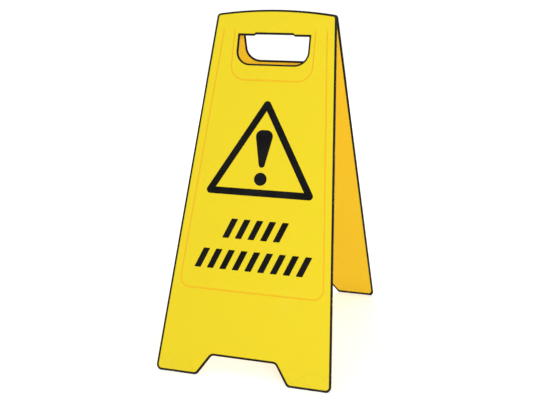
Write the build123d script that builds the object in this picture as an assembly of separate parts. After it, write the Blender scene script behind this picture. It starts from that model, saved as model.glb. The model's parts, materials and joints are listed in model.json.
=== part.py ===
from build123d import *

import os
from math import cos, radians, sin, tan

# A folding A-frame floor sign in millimetres, standing open, with +Z up and its front panel
# facing -Y. The origin is on the floor, midway between the four feet.
# Two like moulded panels are hinged on a pair of pins just under the ridge. Their bevelled top
# lips meet there and stop the opening. Each panel is drawn upright in a frame of its own, with
# the hinge line as its X axis, and is then stood at half the opening angle.

# Stance
OPEN_ANGLE = 40.0              # degrees between the two panels
REAR_TURN_ANGLE = 180.0        # degrees about +Z from the front panel to the rear one

# Panel outline, measured in the plane of the panel
PANEL_LENGTH = 614.0           # from the top corners down to the floor
PANEL_WALL = 3.0
TOP_WIDTH = 208.6              # between the top corners
FOOT_WIDTH = 301.7             # over both feet, before their corners are rounded
TOP_RISE = 8.1                 # crown of the top edge above its corners
TOP_CORNER_RADIUS = 6.0
FOOT_CORNER_RADIUS = 10.0
OUTER_EDGE_RADIUS = 1.0        # round on the outer face's edges, at most half the wall
INNER_EDGE_RADIUS = 0.6        # round on the inner face's edges, at most a quarter of it
SOLE_TRIM = 0.5                # cut off the rounded foot edge to leave a flat sole
LIP_BEVEL = 3.75               # height of the bevel on the top lip, at the middle
RIDGE_GAP = 0.3                # left between the two lips when the sign is open

# Arch between the feet
ARCH_HEIGHT = 34.5
ARCH_TOP_WIDTH = 109.2
ARCH_FOOT_WIDTH = 156.0
ARCH_TOP_RADIUS = 7.0
ARCH_FOOT_RADIUS = 11.0

# Carrying slot
SLOT_WIDTH = 121.6
SLOT_HEIGHT = 48.6
SLOT_TOP_RADIUS = 1.5
SLOT_BOTTOM_RADIUS = 22.0
SLOT_BELOW_HINGE = 25.0        # hinge line to the slot's top edge
GRIP_WIDTH = 65.0              # raised middle of the slot's top edge
GRIP_RISE = 2.4
GRIP_RAMP = 3.0                # run of the slope at each end of the raised middle
GRIP_RADIUS = 3.0              # at both ends of that slope

# Moulded groove lines
LINE_WIDTH = 2.8
LINE_DEPTH = 0.5
LINE_FADE = 14.0               # length over which a line's upper end runs out
LINE_RUNOUT = 0.1              # how far the cut has left the face at that end
LINE_ABOVE_SLOT = 15.0         # upper ends above the slot's top edge
FACE_MARGIN = 15.5             # face line to the panel's side
FACE_ABOVE_FOOT = 144.0        # face line to the floor
FACE_CORNER_RADIUS = 17.0
SURROUND_MARGIN = 10.0         # slot line to the slot's sides
SURROUND_BELOW_SLOT = 28.0     # slot line to the slot's bottom edge
SURROUND_CORNER_RADIUS = 25.0

# Hinge
KNUCKLE_DIAMETER = 11.0
KNUCKLE_LENGTH = 15.0
KNUCKLE_GAP = 0.4              # between neighbouring knuckles
KNUCKLE_CLEARANCE = 0.5        # barrel to the other panel's inner face
KNUCKLE_ROOT = 17.0            # height of the knuckle where it leaves the panel
KNUCKLES = 3                   # in each of the two groups
HINGE_INSET = 16.0             # outer end of a group to the top corner
PIN_DIAMETER = 5.0
PIN_CLEARANCE = 0.05           # around the pin in its bores
PIN_HEAD_DIAMETER = 9.0
PIN_HEAD_THICKNESS = 1.8
PIN_HEAD_ROUND = 0.8
PIN_END_PLAY = 0.3             # left at the head and at the clip
PIN_TAIL = 2.2                 # beyond the clip
PIN_CHAMFER = 0.6
CLIP_DIAMETER = 9.6
CLIP_THICKNESS = 0.8
CLIP_CLEARANCE = 0.02          # around the pin in the clip
CLIP_SLITS = 6
CLIP_SLIT_WIDTH = 0.7
CLIP_SLIT_DEPTH = 1.2          # out from the clip's hole

# Black film on the outer faces
FILM_THICKNESS = 0.25
TRIANGLE_SIDE = 153.0          # of the yellow triangle inside the black one
TRIANGLE_STROKE = 11.7
TRIANGLE_CORNER_RADIUS = 6.5
DOT_DIAMETER = 21.8
DOT_ABOVE_BASE = 6.5           # dot to the inside of the triangle's base
MARK_GAP = 8.5                 # dot to the bar above it
BAR_LENGTH = 63.4
BAR_TOP_WIDTH = 29.2
BAR_SHOULDER_RADIUS = 11.0
BAR_TIP_DIAMETER = 10.4
ROW_BELOW_TRIANGLE = 40.0
ROW_HEIGHT = 33.0
ROW_GAP = 19.5
STRIPE_WIDTH = 11.0
STRIPE_PITCH = 22.0
STRIPE_CORNER_RADIUS = 0.8
UPPER_STRIPES = 5
LOWER_STRIPES = 9

# The panel's frame: distances of its two faces from the hinge line, and heights from it
half_angle = radians(OPEN_ANGLE / 2)
inner_face = KNUCKLE_DIAMETER / 2 + KNUCKLE_CLEARANCE
outer_face = inner_face + PANEL_WALL
crown_z = inner_face / tan(half_angle) + LIP_BEVEL
top_z = crown_z - TOP_RISE
foot_z = top_z - PANEL_LENGTH
slot_top_z = -SLOT_BELOW_HINGE
slot_bottom_z = slot_top_z - SLOT_HEIGHT
line_top_z = slot_top_z + LINE_ABOVE_SLOT
face_bottom_z = foot_z + FACE_ABOVE_FOOT
surround_bottom_z = slot_bottom_z - SURROUND_BELOW_SLOT
hinge_height = -foot_z * cos(half_angle) - outer_face * sin(half_angle)
upright = Pos(0, 0, hinge_height) * Rot(X=-OPEN_ANGLE / 2)
turned = Rot(Z=REAR_TURN_ANGLE)

# The right hinge group along X
group_outer = TOP_WIDTH / 2 - HINGE_INSET
knuckle_pitch = KNUCKLE_LENGTH + KNUCKLE_GAP
group_inner = group_outer - KNUCKLES * knuckle_pitch + KNUCKLE_GAP
pin_radius = PIN_DIAMETER / 2
clip_outer = group_inner - PIN_END_PLAY

# The film graphic from top to bottom, centred between the slot line and the foot of the face line
triangle_inner_height = TRIANGLE_SIDE * cos(radians(30))
triangle_height = triangle_inner_height + 3 * TRIANGLE_STROKE - TRIANGLE_CORNER_RADIUS
graphic_height = triangle_height + ROW_BELOW_TRIANGLE + 2 * ROW_HEIGHT + ROW_GAP
graphic_top_z = (surround_bottom_z + face_bottom_z + graphic_height) / 2
triangle_base_z = graphic_top_z - triangle_height + TRIANGLE_STROKE
upper_row_z = graphic_top_z - triangle_height - ROW_BELOW_TRIANGLE - ROW_HEIGHT / 2
lower_row_z = upper_row_z - ROW_HEIGHT - ROW_GAP


def half_width(z):
    """Half the panel's width at a height on its tapered sides."""
    share = (top_z - z) / PANEL_LENGTH
    return (TOP_WIDTH + (FOOT_WIDTH - TOP_WIDTH) * share) / 2


def both_sides(x, z):
    """The left and right points at a distance from the middle line."""
    return [(-x, z), (x, z)]


def rounded(sketch, points, radius):
    """The sketch with its corners nearest to the points rounded."""
    corners = [sketch.vertices().sort_by_distance((x, z, 0))[0] for x, z in points]
    return fillet(corners, radius)


def panel_outline():
    """The tapered panel with its crowned top and the arch between its feet."""
    sole_z = foot_z - SOLE_TRIM
    arch_z = foot_z + ARCH_HEIGHT
    top_left, top_right = both_sides(TOP_WIDTH / 2, top_z)
    foot_left, foot_right = both_sides(half_width(sole_z), sole_z)
    arch_foot_left, arch_foot_right = both_sides(ARCH_FOOT_WIDTH / 2, sole_z)
    arch_top_left, arch_top_right = both_sides(ARCH_TOP_WIDTH / 2, arch_z)
    crown = ThreePointArc(top_left, (0, crown_z), top_right)
    sides = Polyline(
        top_right, foot_right, arch_foot_right, arch_top_right,
        arch_top_left, arch_foot_left, foot_left, top_left,
    )
    outline = make_face([crown, sides])
    outline = rounded(outline, [top_left, top_right], TOP_CORNER_RADIUS)
    outline = rounded(outline, [foot_left, foot_right], FOOT_CORNER_RADIUS)
    outline = rounded(outline, [arch_foot_left, arch_foot_right], ARCH_FOOT_RADIUS)
    return rounded(outline, [arch_top_left, arch_top_right], ARCH_TOP_RADIUS)


def slot_outline():
    """The carrying slot, whose top edge ramps up to a raised grip."""
    grip_z = slot_top_z + GRIP_RISE
    bottom_left, bottom_right = both_sides(SLOT_WIDTH / 2, slot_bottom_z)
    top_left, top_right = both_sides(SLOT_WIDTH / 2, slot_top_z)
    ramp_left, ramp_right = both_sides(GRIP_WIDTH / 2 + GRIP_RAMP, slot_top_z)
    grip_left, grip_right = both_sides(GRIP_WIDTH / 2, grip_z)
    slot = make_face(Polyline(
        bottom_left, bottom_right, top_right, ramp_right, grip_right,
        grip_left, ramp_left, top_left, bottom_left,
    ))
    slot = rounded(slot, [bottom_left, bottom_right], SLOT_BOTTOM_RADIUS)
    slot = rounded(slot, [top_left, top_right], SLOT_TOP_RADIUS)
    return rounded(slot, [ramp_left, ramp_right, grip_left, grip_right], GRIP_RADIUS)


def groove(top_half_width, bottom_half_width, bottom_z, corner_radius):
    """The round cutter of a U-shaped line, whose two upper ends rise out of the outer face."""
    cutter_radius = (LINE_WIDTH ** 2 / 4 + LINE_DEPTH ** 2) / (2 * LINE_DEPTH)
    level = -(outer_face + cutter_radius - LINE_DEPTH)
    start_z = line_top_z - LINE_FADE
    corners = [
        (-top_half_width, level, start_z),
        (-bottom_half_width, level, bottom_z),
        (bottom_half_width, level, bottom_z),
        (top_half_width, level, start_z),
    ]
    line = FilletPolyline(*corners, radius=corner_radius)
    ends = []
    for top, below in ((corners[0], corners[1]), (corners[3], corners[2])):
        upward = (Vector(*top) - Vector(*below)).normalized()
        run_out = Vector(0, -(LINE_DEPTH + LINE_RUNOUT), 0)
        end = Vector(*top) + upward * LINE_FADE + run_out
        ends.append(Edge.make_tangent_arc(Vector(*top), upward, end))
    path = Wire([ends[0], *line.edges(), ends[1]])
    section = Plane(path @ 0, z_dir=path % 0) * Circle(cutter_radius)
    return sweep(section, path)


def grooves():
    """The line round the face and the line round the carrying slot."""
    face_top = half_width(line_top_z) - FACE_MARGIN
    face_bottom = half_width(face_bottom_z) - FACE_MARGIN
    surround = SLOT_WIDTH / 2 + SURROUND_MARGIN
    return [
        groove(face_top, face_bottom, face_bottom_z, FACE_CORNER_RADIUS),
        groove(surround, surround, surround_bottom_z, SURROUND_CORNER_RADIUS),
    ]


def knuckle(start_x):
    """One hinge barrel, flared to its root in the panel."""
    root_y = -(inner_face + PANEL_WALL / 2)
    root = Line((root_y, -KNUCKLE_ROOT / 2), (root_y, KNUCKLE_ROOT / 2))
    profile = make_hull(Circle(KNUCKLE_DIAMETER / 2).edges() + root.edges())
    return extrude(Plane.YZ.offset(start_x) * profile, KNUCKLE_LENGTH)


def panel_knuckles():
    """Every second knuckle on the right, and on the left those that the turned panel leaves free."""
    starts = [group_inner + place * knuckle_pitch for place in range(KNUCKLES)]
    right = starts[1::2]
    left = [-(start + KNUCKLE_LENGTH) for start in starts[0::2]]
    return [knuckle(start) for start in left + right]


def moulded_panel():
    """The front panel as it stands, with a flat sole, a bevelled lip and bored knuckles."""
    face = panel_outline() - slot_outline()
    plate = extrude(Plane.XZ.offset(inner_face) * face, PANEL_WALL)
    plate = fillet(plate.faces().sort_by(Axis.Y)[0].edges(), min(OUTER_EDGE_RADIUS, PANEL_WALL / 2))
    plate = fillet(plate.faces().sort_by(Axis.Y)[-1].edges(), min(INNER_EDGE_RADIUS, PANEL_WALL / 4))
    plate -= grooves()
    reach = PANEL_LENGTH
    below_floor = Pos(0, 0, -reach / 2) * Box(reach, 2 * reach, reach)
    past_ridge = Pos(0, (reach - RIDGE_GAP) / 2, hinge_height) * Box(reach, reach, reach)
    panel = upright * plate - below_floor - past_ridge
    bore = Rot(Y=90) * Cylinder(pin_radius + PIN_CLEARANCE, TOP_WIDTH)
    return panel + [upright * (barrel - bore) for barrel in panel_knuckles()]


def hinge_pin():
    """The right hinge pin, headed at its outer end."""
    head_x = group_outer + PIN_END_PLAY
    tail_x = clip_outer - CLIP_THICKNESS - PIN_TAIL
    head = extrude(Plane.YZ.offset(head_x) * Circle(PIN_HEAD_DIAMETER / 2), PIN_HEAD_THICKNESS)
    head = fillet(head.edges().group_by(Axis.X)[-1], PIN_HEAD_ROUND)
    shank = extrude(Plane.YZ.offset(tail_x) * Circle(pin_radius), head_x - tail_x)
    shank = chamfer(shank.edges().group_by(Axis.X)[0], PIN_CHAMFER)
    return Pos(0, 0, hinge_height) * (head + shank)


def pin_clip():
    """The right pin's push-on clip, with slits round its hole."""
    hole_radius = pin_radius + CLIP_CLEARANCE
    slit_length = hole_radius + CLIP_SLIT_DEPTH
    slit = Pos(slit_length / 2, 0) * Rectangle(slit_length, CLIP_SLIT_WIDTH)
    slits = [Rot(Z=turn * 360 / CLIP_SLITS) * slit for turn in range(CLIP_SLITS)]
    ring = Circle(CLIP_DIAMETER / 2) - Circle(hole_radius) - slits
    clip = extrude(Plane.YZ.offset(clip_outer - CLIP_THICKNESS) * ring, CLIP_THICKNESS)
    return Pos(0, 0, hinge_height) * clip


def film(sketch):
    """A film piece laid on the front panel's outer face."""
    return upright * extrude(Plane.XZ.offset(outer_face) * sketch, FILM_THICKNESS)


def triangle():
    """The black triangle with rounded outer corners."""
    outer_side = TRIANGLE_SIDE + 2 * TRIANGLE_STROKE * 3 ** 0.5
    inner_apex_z = triangle_base_z + triangle_inner_height
    outer_base_z = triangle_base_z - TRIANGLE_STROKE
    outer_apex_z = inner_apex_z + 2 * TRIANGLE_STROKE
    inner = both_sides(TRIANGLE_SIDE / 2, triangle_base_z) + [(0, inner_apex_z)]
    outer = both_sides(outer_side / 2, outer_base_z) + [(0, outer_apex_z)]
    plain = make_face(Polyline(*outer, outer[0]))
    return rounded(plain, outer, TRIANGLE_CORNER_RADIUS) - make_face(Polyline(*inner, inner[0]))


def exclamation_dot():
    """The round dot of the exclamation mark."""
    return Pos(0, triangle_base_z + DOT_ABOVE_BASE + DOT_DIAMETER / 2) * Circle(DOT_DIAMETER / 2)


def exclamation_bar():
    """The tapered bar of the exclamation mark, with a round tip and rounded shoulders."""
    tip_z = triangle_base_z + DOT_ABOVE_BASE + DOT_DIAMETER + MARK_GAP
    tip = Pos(0, tip_z + BAR_TIP_DIAMETER / 2) * Circle(BAR_TIP_DIAMETER / 2)
    shoulder_z = tip_z + BAR_LENGTH - BAR_SHOULDER_RADIUS
    rounds = [tip]
    for x, z in both_sides(BAR_TOP_WIDTH / 2 - BAR_SHOULDER_RADIUS, shoulder_z):
        rounds.append(Pos(x, z) * Circle(BAR_SHOULDER_RADIUS))
    return make_hull([edge for circle in rounds for edge in circle.edges()])


def stripe_row(count, row_z):
    """A row of slanted stripes, whose slant carries on from one row to the other."""
    lean = ROW_HEIGHT * STRIPE_PITCH / (ROW_HEIGHT + ROW_GAP)
    low_x = -(STRIPE_WIDTH + lean) / 2
    high_x = low_x + lean
    corners = [
        (low_x, -ROW_HEIGHT / 2),
        (low_x + STRIPE_WIDTH, -ROW_HEIGHT / 2),
        (high_x + STRIPE_WIDTH, ROW_HEIGHT / 2),
        (high_x, ROW_HEIGHT / 2),
    ]
    stripe = rounded(make_face(Polyline(*corners, corners[0])), corners, STRIPE_CORNER_RADIUS)
    first_x = -(count - 1) * STRIPE_PITCH / 2
    return Sketch() + [Pos(first_x + place * STRIPE_PITCH, row_z) * stripe for place in range(count)]


front_pieces = {
    "panel": moulded_panel(),
    "triangle": film(triangle()),
    "exclamation_bar": film(exclamation_bar()),
    "exclamation_dot": film(exclamation_dot()),
    "upper_stripes": film(stripe_row(UPPER_STRIPES, upper_row_z)),
    "lower_stripes": film(stripe_row(LOWER_STRIPES, lower_row_z)),
}
right_pieces = {
    "hinge_pin": hinge_pin(),
    "pin_clip": pin_clip(),
}

os.makedirs("parts", exist_ok=True)
for name, piece in front_pieces.items():
    export_step(piece, f"parts/front_{name}.step")
    export_step(turned * piece, f"parts/rear_{name}.step")
for name, piece in right_pieces.items():
    export_step(piece, f"parts/right_{name}.step")
    export_step(turned * piece, f"parts/left_{name}.step")
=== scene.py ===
import json
from collections import namedtuple
from math import cos, hypot, pi, radians, sin, tan

import bpy
from mathutils import Matrix, Vector

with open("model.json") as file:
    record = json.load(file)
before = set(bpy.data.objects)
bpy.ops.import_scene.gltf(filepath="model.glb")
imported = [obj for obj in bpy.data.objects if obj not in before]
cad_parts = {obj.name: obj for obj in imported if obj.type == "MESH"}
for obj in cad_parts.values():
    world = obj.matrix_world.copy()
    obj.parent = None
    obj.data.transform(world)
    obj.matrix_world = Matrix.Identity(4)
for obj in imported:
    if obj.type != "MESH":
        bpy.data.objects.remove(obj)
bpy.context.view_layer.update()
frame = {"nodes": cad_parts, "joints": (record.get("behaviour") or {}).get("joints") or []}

# Looks of a folding A-frame floor sign, in metres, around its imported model.
# The panels are drawn in a frame of their own: X along the hinge, -Y out of the outer face, Z up.

# Noise has spots of a size in metres, some layers of finer spots, and a strength for each next layer.
# A step goes smoothly from a start to an end value between two limits.
# A lamp is a soft square of a size, with a power in watts.
Noise = namedtuple("Noise", "size detail roughness", defaults=(0.5,))
Step = namedtuple("Step", "low high start end", defaults=(0.0, 1.0))
Lamp = namedtuple("Lamp", "place size power")

# The part's own panel sizes, which the finishes follow
OUTER_FACE = 0.009            # hinge line to a panel's outer face
PANEL_WALL = 0.003
PANEL_LENGTH = 0.614          # floor to the top corners, along the panel
TOP_HALF_WIDTH = 0.1043
FOOT_HALF_WIDTH = 0.15085
TOP_RISE = 0.0081
TOP_CORNER_RADIUS = 0.006
FOOT_CORNER_RADIUS = 0.010
ARCH_HEIGHT = 0.0345
ARCH_TOP_HALF_WIDTH = 0.0546
ARCH_FOOT_HALF_WIDTH = 0.078
ARCH_TOP_RADIUS = 0.007
ARCH_FOOT_RADIUS = 0.011
SLOT_BELOW_HINGE = 0.025
SLOT_HEIGHT = 0.0486
SLOT_HALF_WIDTH = 0.0608
SLOT_BOTTOM_RADIUS = 0.022
GRIP_HALF_WIDTH = 0.0325
GRIP_RAMP = 0.003
GRIP_RISE = 0.0024
LINE_DEPTH = 0.0005           # of the moulded groove lines

# Colours, linear
YELLOW = (0.87, 0.705, 0.018, 1.0)
# Painted shade for the grooves and the grain's hollows. It is also the tone of the faint colour drifts
DRIFT_AND_SHADE_YELLOW = (0.90, 0.52, 0.015, 1.0)
# Painted shade: a warmer, more orange yellow for the inner face, standing for the shade between the panels
INNER_SHADE_YELLOW = (0.99, 0.657, 0.028, 1.0)
PALE_YELLOW = (0.93, 0.84, 0.24, 1.0)
BLACK = (0.004, 0.0036, 0.0036, 1.0)
FADED_BLACK = (0.10, 0.10, 0.10, 1.0)
GRIME_BROWN = (0.22, 0.17, 0.07, 1.0)
DUST_GREY = (0.34, 0.31, 0.25, 1.0)
STEEL = (0.33, 0.33, 0.32, 1.0)
BRIGHT_STEEL = (0.48, 0.48, 0.47, 1.0)
FLOOR_GREY = (0.9, 0.9, 0.9, 1.0)
WHITE = (1.0, 1.0, 1.0, 1.0)

# Plastic
# Painted shade: the grooves are coloured warmer and darker down their sides, where shade falls
GROOVE_SHADE_STEP = Step(0.0, 0.4 * LINE_DEPTH)                # down a groove's side
# Painted shade over the inner face and walls, past the grooves
INNER_SHADE_STEP = Step(1.2 * LINE_DEPTH, 2.0 * LINE_DEPTH)    # through the wall, past the grooves
DRIFT = Noise(0.07, 3.0)                     # faint drifts of colour
DRIFT_TINT = Step(0.35, 0.75, 0.0, 0.06)
GRAIN = Noise(0.0006, 2.0)                   # fine grain left by the mould
# Painted shade: the grain's hollows, the low places of its bump, are coloured darker
GRAIN_HOLLOW_SHADE_STEP = Step(0.60, 0.35, 0.0, 0.25)
GRAIN_ROUGHNESS = Step(0.3, 0.7, 0.40, 0.52)
GRAIN_HEIGHT = 0.00006
WAVES = Noise(0.045, 1.0)                    # faint waves of the moulded face
WAVE_HEIGHT = 0.00012
PLASTIC_SPECULAR = 0.15

# Wear of the plastic and the film
WEAR_SHIFT = {"front": 0.0, "rear": 7.0}     # so that the two panels are worn differently
SCRATCH_WIDTH = 0.0003
SCRATCH_LENGTH = 0.035
SCRATCH_SPREAD = 10.0                        # spacing of the scratches, in their own widths and lengths
SCRATCH_REACH = 0.5                          # from a scratch's middle to its edge, in widths
SCRATCH_CORE = 0.2                           # and to where it is deepest
SCRATCH_TURNS = (9.0, -37.0, 68.0)           # degrees from upright, one for each set
SCRATCHED_SHARE = 0.5                        # of the places where a scratch may be
SCRATCH_PATCHES = Noise(0.10, 1.0)           # more and less scratched ground
SCRATCH_PATCH_STEP = Step(0.40, 0.62)
STREAK_SIZE = (0.0006, 0.0006, 0.02)         # rubbed streaks: across, through and along
STREAK_STEP = Step(0.52, 0.72)
SCUFF_PATCHES = Noise(0.10, 3.0)             # where the streaks are
SCUFF_PATCH_STEP = Step(0.58, 0.78)
SCUFFS_AT_FEET = 0.15                        # added to the patches there
SCUFF_STRENGTH = 0.6                         # beside a scratch's
WORN_TINT = 0.4
WORN_ROUGHNESS = 0.15                        # added where it is worn
WORN_DEPTH = 0.5                             # of the grain's height
GRIME = Noise(0.006, 6.0, 0.72)
GRIME_STEP = Step(0.45, 0.75)
GRIME_TINT = 0.18
GRIME_HEIGHT = 0.05                          # how far up the feet it reaches
STRETCHED = Noise(1.0, 2.0)                  # for places counted in a mark's own lengths

# Dark edging of the panels
EDGING_WIDTH = 0.0037                        # in from the rim
EDGING_WOBBLE = 0.0004
SLOT_EDGING_CUT = 0.0005                     # how much narrower it is round the slot
INNER_FOOT_SHARE = 0.72                      # of distances at an inner face's foot, where it is wider
FLECKS = Noise(0.003, 4.0, 0.6)
MEAN_FLECK = 0.5
CREST_STEP = Step(0.0012, 0.0006)            # reach of the wear on the edges' rounds, along both faces
RUBBED_STEP = Step(0.48, 0.62, 0.0, 0.5)
CHIPPED_STEP = Step(0.62, 0.66)
CHIPS_AT_SOLES = 0.04                        # added to the flecks there
DUST_HEIGHT = 0.008                          # how far up the feet it reaches
DUST_TINT = 0.25

# Film
FILM_GRAIN = Noise(0.00045, 1.0)
FILM_GRAIN_FADE = Step(0.5, 0.7, 0.0, 0.03)
FILM_GRAIN_HEIGHT = 0.00001
FILM_DRIFT = Noise(0.033, 3.0)
FILM_DRIFT_FADE = Step(0.35, 0.70, 0.0, 0.05)
FILM_SPECK_FADE = Step(0.66, 0.72, 0.0, 0.3)
FILM_SCRATCH_FADE = 0.5
FILM_ROUGHNESS = Step(0.3, 0.7, 0.40, 0.55)
FILM_SPECULAR = 0.06

# Steel
LATHE_RING_SIZE = (0.0004, 0.016, 0.016)     # along the pin, then round it
LATHE_RING_TINT = Step(0.3, 0.7)
LATHE_RING_ROUGHNESS = Step(0.25, 0.75, 0.22, 0.42)
LATHE_RING_HEIGHT = 0.000015

# Stage
FLOOR_SIZE = 60.0
FLOOR_ROUGHNESS = 0.9
FLOOR_GLOW = 0.42             # what the camera sees added to the floor, which makes it white
SURROUND_LIGHT = 0.70
LAMP_TARGET = Vector((0.0, 0.0, 0.3))
LAMPS = {
    "key": Lamp(Vector((1.5, -2.6, 0.9)), 1.0, 32.0),
    "back": Lamp(Vector((-0.8, 2.8, 1.6)), 2.0, 22.0),
}

# Camera, fitted to the picture, which is 533 by 400 pixels
IMAGE_WIDTH = 533.0
FOCAL_PIXELS = 817.77
SENSOR_WIDTH = 36.0           # mm
CAMERA_AZIMUTH = 16.254       # degrees
CAMERA_ELEVATION = 15.655     # degrees
CAMERA_RIGHT = -0.01772       # camera place along its own right, up and forward directions
CAMERA_UP = 0.241229
CAMERA_FORWARD = -1.538801
CAMERA_SIGHT = 200.0          # how far it sees

# Sockets of a mix node for colours
MIX_SHARE = 0
MIX_FIRST = 6
MIX_SECOND = 7
MIX_RESULT = 2

# The panel's frame: heights from the hinge line, slopes and turns
fold = frame["joints"][0]
HINGE_PLACE = Vector(fold["pos_m"])
HALF_ANGLE = radians(fold["range_deg"][1] / 2)
FOOT_Z = -(HINGE_PLACE.z + OUTER_FACE * sin(HALF_ANGLE)) / cos(HALF_ANGLE)
TOP_CORNER_Z = FOOT_Z + PANEL_LENGTH
ARCH_TOP_Z = FOOT_Z + ARCH_HEIGHT
SLOT_TOP_Z = -SLOT_BELOW_HINGE
SLOT_BOTTOM_Z = SLOT_TOP_Z - SLOT_HEIGHT
SIDE_TAPER = (FOOT_HALF_WIDTH - TOP_HALF_WIDTH) / PANEL_LENGTH
ARCH_TAPER = (ARCH_FOOT_HALF_WIDTH - ARCH_TOP_HALF_WIDTH) / ARCH_HEIGHT
ARCH_SIDE_COSINE = 1.0 / hypot(1.0, ARCH_TAPER)
ARCH_SIDE_SINE = ARCH_TAPER * ARCH_SIDE_COSINE
PANEL_TURNS = {"front": (-HALF_ANGLE, 0.0, 0.0), "rear": (-HALF_ANGLE, 0.0, pi)}


class Field:
    """A value that varies over a surface: arithmetic with it adds shader nodes."""

    def __init__(self, socket):
        self.socket = socket
        self.tree = socket.id_data

    def combine(self, operation, first, second=0.0):
        made = add(self.tree, "ShaderNodeMath", {0: first, 1: second}, operation=operation)
        return Field(made.outputs[0])

    def __add__(self, other):
        return self.combine("ADD", self, other)

    def __sub__(self, other):
        return self.combine("SUBTRACT", self, other)

    def __rsub__(self, other):
        return self.combine("SUBTRACT", other, self)

    def __mul__(self, other):
        return self.combine("MULTIPLY", self, other)

    def __abs__(self):
        return self.combine("ABSOLUTE", self)

    def root(self):
        return self.combine("SQRT", self)

    def least(self, other):
        return self.combine("MINIMUM", self, other)

    def most(self, other):
        return self.combine("MAXIMUM", self, other)

    def ramp(self, low, high, start=0.0, end=1.0):
        """A smooth step from start to end between two limits."""
        inputs = {"Value": self, "From Min": low, "From Max": high, "To Min": start, "To Max": end}
        made = add(self.tree, "ShaderNodeMapRange", inputs, interpolation_type="SMOOTHSTEP")
        return Field(made.outputs["Result"])


def feed(node, inputs):
    """Sets a node's inputs to values, or links them to fields or sockets."""
    for name, value in inputs.items():
        source = value.socket if isinstance(value, Field) else value
        if isinstance(source, bpy.types.NodeSocket):
            node.id_data.links.new(source, node.inputs[name])
        else:
            node.inputs[name].default_value = source


def add(tree, kind, inputs=None, **settings):
    """A new shader node with its settings and inputs."""
    made = tree.nodes.new(kind)
    for name, value in settings.items():
        setattr(made, name, value)
    feed(made, inputs or {})
    return made


def mix(share, first, second):
    """A blend of two colours."""
    inputs = {MIX_SHARE: share, MIX_FIRST: first, MIX_SECOND: second}
    return add(share.tree, "ShaderNodeMix", inputs, data_type="RGBA").outputs[MIX_RESULT]


def bump(height, distance, normal=None):
    """A bump of a given height in metres, over another one if there is one."""
    inputs = {"Height": height, "Distance": distance}
    if normal is not None:
        inputs["Normal"] = normal
    return add(height.tree, "ShaderNodeBump", inputs).outputs["Normal"]


def noise(place, kind):
    """Fractal noise over a surface, from 0 to 1."""
    inputs = {
        "Vector": place, "Scale": 1.0 / kind.size,
        "Detail": kind.detail, "Roughness": kind.roughness,
    }
    return Field(add(place.id_data, "ShaderNodeTexNoise", inputs).outputs["Fac"])


def measured(place, start=(0.0, 0.0, 0.0), turn=(0.0, 0.0, 0.0), sizes=(1.0, 1.0, 1.0)):
    """Coordinates from a start, after a turn, that count lengths of a given size along each axis."""
    inputs = {"Vector": place, "Location": start, "Rotation": turn, "Scale": sizes}
    return add(place.id_data, "ShaderNodeMapping", inputs, vector_type="TEXTURE").outputs["Vector"]


def new_material(name):
    """A material with its tree and its main shader."""
    material = bpy.data.materials.new(name)
    material.use_nodes = True
    tree = material.node_tree
    return material, tree, tree.nodes["Principled BSDF"]


def object_place(tree):
    """Places in the sign's frame, which stay on a piece as it moves."""
    return add(tree, "ShaderNodeTexCoord").outputs["Object"]


def panel_frame(tree, side):
    """Places in a panel's own frame: a vector for textures, then across, inward and up."""
    place = measured(object_place(tree), start=HINGE_PLACE, turn=PANEL_TURNS[side])
    parts = add(tree, "ShaderNodeSeparateXYZ", {"Vector": place}).outputs
    shift = (WEAR_SHIFT[side],) * 3
    shifted = add(tree, "ShaderNodeVectorMath", {0: place, 1: shift}, operation="ADD").outputs["Vector"]
    return shifted, [Field(parts[axis]) for axis in "XYZ"]


def from_round(first, second, cosine):
    """Distance from the centre of a corner's round, out to what lies past it towards two sides."""
    sine = (1.0 - cosine * cosine) ** 0.5

    def reach(main, other):
        beside = ((other - main * cosine) * (1.0 / sine)).most(0.0)
        ahead = main.most(0.0)
        return (ahead * ahead + beside * beside).root()

    return reach(first, second).least(reach(second, first))


def inside_corner(first, second, radius, cosine=0.0):
    """Distance in from two sides that meet in a rounded corner, counted up to its radius."""
    return radius - from_round(radius - first, radius - second, cosine)


def outside_corner(first, second, radius, cosine=0.0):
    """Distance out from two sides of a hole that meet in a rounded corner."""
    return from_round(first + radius, second + radius, cosine) - radius


def rim_distance(across, depth, up):
    """Distance of a place on a panel from the nearest edge of its outline, its slot or its arch."""
    away = abs(across)
    side = (TOP_CORNER_Z - up) * SIDE_TAPER + TOP_HALF_WIDTH - away
    top = across * across * (-TOP_RISE / TOP_HALF_WIDTH ** 2) + (TOP_CORNER_Z + TOP_RISE) - up
    foot = up - FOOT_Z - depth * tan(HALF_ANGLE)
    foot = foot * depth.ramp(LINE_DEPTH, PANEL_WALL, 1.0, INNER_FOOT_SHARE)
    slot_side = away - SLOT_HALF_WIDTH
    slot_top = up - SLOT_TOP_Z - away.ramp(GRIP_HALF_WIDTH + GRIP_RAMP, GRIP_HALF_WIDTH, 0.0, GRIP_RISE)
    slot = outside_corner(slot_side, SLOT_BOTTOM_Z - up, SLOT_BOTTOM_RADIUS).most(slot_top)
    arch_side = (away - ARCH_TOP_HALF_WIDTH - (ARCH_TOP_Z - up) * ARCH_TAPER) * ARCH_SIDE_COSINE
    arch = outside_corner(arch_side, up - ARCH_TOP_Z, ARCH_TOP_RADIUS, ARCH_SIDE_SINE)
    outline = inside_corner(side, top, TOP_CORNER_RADIUS)
    outline = outline.least(inside_corner(side, foot, FOOT_CORNER_RADIUS))
    outline = outline.least(inside_corner(arch, foot, ARCH_FOOT_RADIUS, ARCH_SIDE_SINE))
    return outline.least(slot + SLOT_EDGING_CUT)


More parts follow.
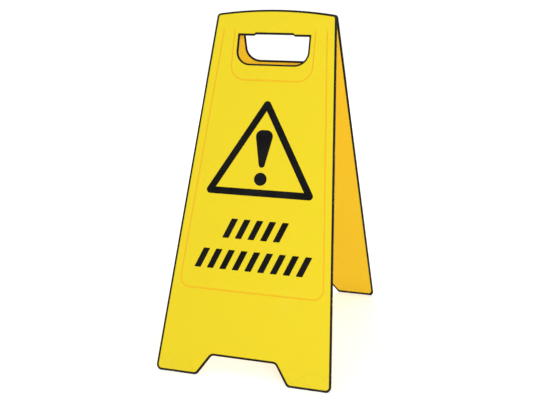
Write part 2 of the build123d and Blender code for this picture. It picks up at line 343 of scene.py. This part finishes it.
def scratches(place, turn):
    """Straight hairlines in one direction, some faint and some clear, at most one in each cell."""
    sizes = (SCRATCH_WIDTH * SCRATCH_SPREAD, SCRATCH_LENGTH * SCRATCH_SPREAD, 1.0)
    laid = measured(place, turn=(pi / 2, radians(turn), 0.0), sizes=sizes)
    cells = add(
        place.id_data, "ShaderNodeTexVoronoi", {"Vector": laid, "Scale": 1.0}, voronoi_dimensions="2D",
    ).outputs
    chance = add(place.id_data, "ShaderNodeSeparateColor", {"Color": cells["Color"]}).outputs["Red"]
    needle = Field(cells["Distance"]).ramp(SCRATCH_REACH / SCRATCH_SPREAD, SCRATCH_CORE / SCRATCH_SPREAD)
    return needle * Field(chance).ramp(1.0 - SCRATCHED_SHARE, 1.0)


def all_scratches(place):
    """Scratches in every direction, in patches."""
    together = scratches(place, SCRATCH_TURNS[0])
    for turn in SCRATCH_TURNS[1:]:
        together = together.most(scratches(place, turn))
    return together * noise(place, SCRATCH_PATCHES).ramp(*SCRATCH_PATCH_STEP)


def scuffs(place, low):
    """Rubbed streaks in patches, with more of them low on the feet."""
    streaks = noise(measured(place, sizes=STREAK_SIZE), STRETCHED).ramp(*STREAK_STEP)
    patches = (noise(place, SCUFF_PATCHES) + low * SCUFFS_AT_FEET).ramp(*SCUFF_PATCH_STEP)
    return streaks * patches


def plastic_colour(place, depth, grain):
    """Yellow, with painted shade that warms the grooves, the inner face and the grain's hollows, and with
    faint drifts of colour.
    """
    # painted shade down the grooves' sides
    colour = mix(depth.ramp(*GROOVE_SHADE_STEP), YELLOW, DRIFT_AND_SHADE_YELLOW)
    # painted shade: the inner face is coloured warmer, for the shade between the panels
    colour = mix(depth.ramp(*INNER_SHADE_STEP), colour, INNER_SHADE_YELLOW)
    colour = mix(noise(place, DRIFT).ramp(*DRIFT_TINT), colour, DRIFT_AND_SHADE_YELLOW)
    # painted shade in the grain's hollows
    return mix(grain.ramp(*GRAIN_HOLLOW_SHADE_STEP), colour, DRIFT_AND_SHADE_YELLOW)


def with_edging(colour, place, across, depth, up, grime):
    """A colour under the dark edging, which is rubbed and chipped on its crests and dusty at the soles."""
    flecks = noise(place, FLECKS)
    rim = rim_distance(across, depth, up) + (flecks - MEAN_FLECK) * EDGING_WOBBLE
    edging = rim.ramp(EDGING_WIDTH + EDGING_WOBBLE, EDGING_WIDTH - EDGING_WOBBLE)
    crest = (rim + depth.least(PANEL_WALL - depth)).ramp(*CREST_STEP)
    dusty = up.ramp(FOOT_Z + DUST_HEIGHT, FOOT_Z)
    black = mix(crest * flecks.ramp(*RUBBED_STEP), BLACK, FADED_BLACK)
    black = mix(dusty * grime * DUST_TINT, black, DUST_GREY)
    chipped = crest * (flecks + dusty * CHIPS_AT_SOLES).ramp(*CHIPPED_STEP)
    return mix(edging * (1.0 - chipped), colour, black)


def moulded_plastic(side):
    """Satin yellow plastic with a dark edging, lightly worn, with painted shade in its grooves, its grain
    and on its inner face.
    """
    material, tree, shader = new_material(f"{side}_moulded_plastic")
    place, (across, inward, up) = panel_frame(tree, side)
    depth = inward + OUTER_FACE
    low = up.ramp(FOOT_Z + GRIME_HEIGHT, FOOT_Z)
    grain = noise(place, GRAIN)
    worn = all_scratches(place).most(scuffs(place, low) * SCUFF_STRENGTH)
    grime = noise(place, GRIME).ramp(*GRIME_STEP)
    colour = plastic_colour(place, depth, grain)
    colour = mix(worn * WORN_TINT, colour, PALE_YELLOW)
    colour = mix(low * grime * GRIME_TINT, colour, GRIME_BROWN)
    waves = bump(noise(place, WAVES), WAVE_HEIGHT)
    feed(shader, {
        "Base Color": with_edging(colour, place, across, depth, up, grime),
        "Roughness": grain.ramp(*GRAIN_ROUGHNESS) + worn * WORN_ROUGHNESS,
        "Normal": bump(grain - worn * WORN_DEPTH, GRAIN_HEIGHT, waves),
        "Specular IOR Level": PLASTIC_SPECULAR,
    })
    return material


def black_film(side):
    """Black vinyl film with a faint grain, specks and fine scratches."""
    material, tree, shader = new_material(f"{side}_black_film")
    place, _ = panel_frame(tree, side)
    lines = all_scratches(place)
    grain = noise(place, FILM_GRAIN)
    drift = noise(place, FILM_DRIFT)
    specks = noise(place, FLECKS).ramp(*FILM_SPECK_FADE)
    faded = drift.ramp(*FILM_DRIFT_FADE) + grain.ramp(*FILM_GRAIN_FADE)
    feed(shader, {
        "Base Color": mix(faded.most(lines * FILM_SCRATCH_FADE).most(specks), BLACK, FADED_BLACK),
        "Roughness": drift.ramp(*FILM_ROUGHNESS),
        "Normal": bump(grain - lines, FILM_GRAIN_HEIGHT),
        "Specular IOR Level": FILM_SPECULAR,
    })
    return material


def turned_steel():
    """Bright steel with fine rings from the lathe."""
    material, tree, shader = new_material("turned_steel")
    rings = noise(measured(object_place(tree), sizes=LATHE_RING_SIZE), STRETCHED)
    feed(shader, {
        "Base Color": mix(rings.ramp(*LATHE_RING_TINT), STEEL, BRIGHT_STEEL),
        "Roughness": rings.ramp(*LATHE_RING_ROUGHNESS),
        "Normal": bump(rings, LATHE_RING_HEIGHT),
        "Metallic": 1.0,
    })
    return material


def dress(name, material):
    """Gives a CAD node a new material."""
    mesh = frame["nodes"][name].data
    mesh.materials.clear()
    mesh.materials.append(material)


def seen_directly(tree):
    """One for what the camera sees, straight or by gloss or glass, and zero for light on things."""
    light_path = add(tree, "ShaderNodeLightPath").outputs
    seen = Field(light_path["Is Camera Ray"])
    for kind in ("Is Glossy Ray", "Is Transmission Ray"):
        seen = seen.most(Field(light_path[kind]))
    return seen


def lay_floor():
    """A plain pale floor that the camera sees as white where no shadow falls."""
    bpy.ops.mesh.primitive_plane_add(size=FLOOR_SIZE)
    floor = bpy.context.object
    floor.name = "floor"
    material, tree, shader = new_material("pale_floor")
    feed(shader, {"Base Color": FLOOR_GREY, "Roughness": FLOOR_ROUGHNESS, "Specular IOR Level": 0.0})
    glow = add(tree, "ShaderNodeEmission", {"Strength": seen_directly(tree) * FLOOR_GLOW})
    both = add(tree, "ShaderNodeAddShader", {0: shader.outputs[0], 1: glow.outputs[0]})
    feed(tree.nodes["Material Output"], {"Surface": both.outputs[0]})
    floor.data.materials.append(material)


def light_world():
    """A plain white surround, seen by the camera as pure white."""
    world = bpy.data.worlds.new("surround")
    bpy.context.scene.world = world
    world.use_nodes = True
    tree = world.node_tree
    level = seen_directly(tree) * (1.0 - SURROUND_LIGHT) + SURROUND_LIGHT
    feed(tree.nodes["Background"], {"Color": WHITE, "Strength": level})


def add_lamp(name, lamp):
    """A soft lamp aimed at the sign."""
    data = bpy.data.lights.new(name, "AREA")
    data.size = lamp.size
    data.energy = lamp.power
    holder = bpy.data.objects.new(name, data)
    bpy.context.scene.collection.objects.link(holder)
    holder.location = lamp.place
    holder.rotation_euler = (LAMP_TARGET - lamp.place).to_track_quat("-Z", "Y").to_euler()


def add_camera():
    """The camera of the picture."""
    azimuth = radians(CAMERA_AZIMUTH)
    elevation = radians(CAMERA_ELEVATION)
    right = Vector((cos(azimuth), sin(azimuth), 0.0))
    forward = Vector((-sin(azimuth) * cos(elevation), cos(azimuth) * cos(elevation), -sin(elevation)))
    up = right.cross(forward)
    data = bpy.data.cameras.new("camera")
    data.sensor_width = SENSOR_WIDTH
    data.lens = FOCAL_PIXELS / IMAGE_WIDTH * SENSOR_WIDTH
    data.clip_end = CAMERA_SIGHT
    camera = bpy.data.objects.new("camera", data)
    bpy.context.scene.collection.objects.link(camera)
    place = right * CAMERA_RIGHT + up * CAMERA_UP + forward * CAMERA_FORWARD
    facing = Matrix((right, up, -forward)).transposed().to_4x4()
    camera.matrix_world = Matrix.Translation(place) @ facing
    bpy.context.scene.camera = camera


bpy.context.scene.view_settings.view_transform = "Standard"
steel = turned_steel()
for side in PANEL_TURNS:
    dress(f"{side}_panel", moulded_plastic(side))
    film = black_film(side)
    for piece in ("triangle", "exclamation_bar", "exclamation_dot", "upper_stripes", "lower_stripes"):
        dress(f"{side}_{piece}", film)
for hand in ("left", "right"):
    dress(f"{hand}_hinge_pin", steel)
    dress(f"{hand}_pin_clip", steel)
lay_floor()
light_world()
for name, lamp in LAMPS.items():
    add_lamp(name, lamp)
add_camera()
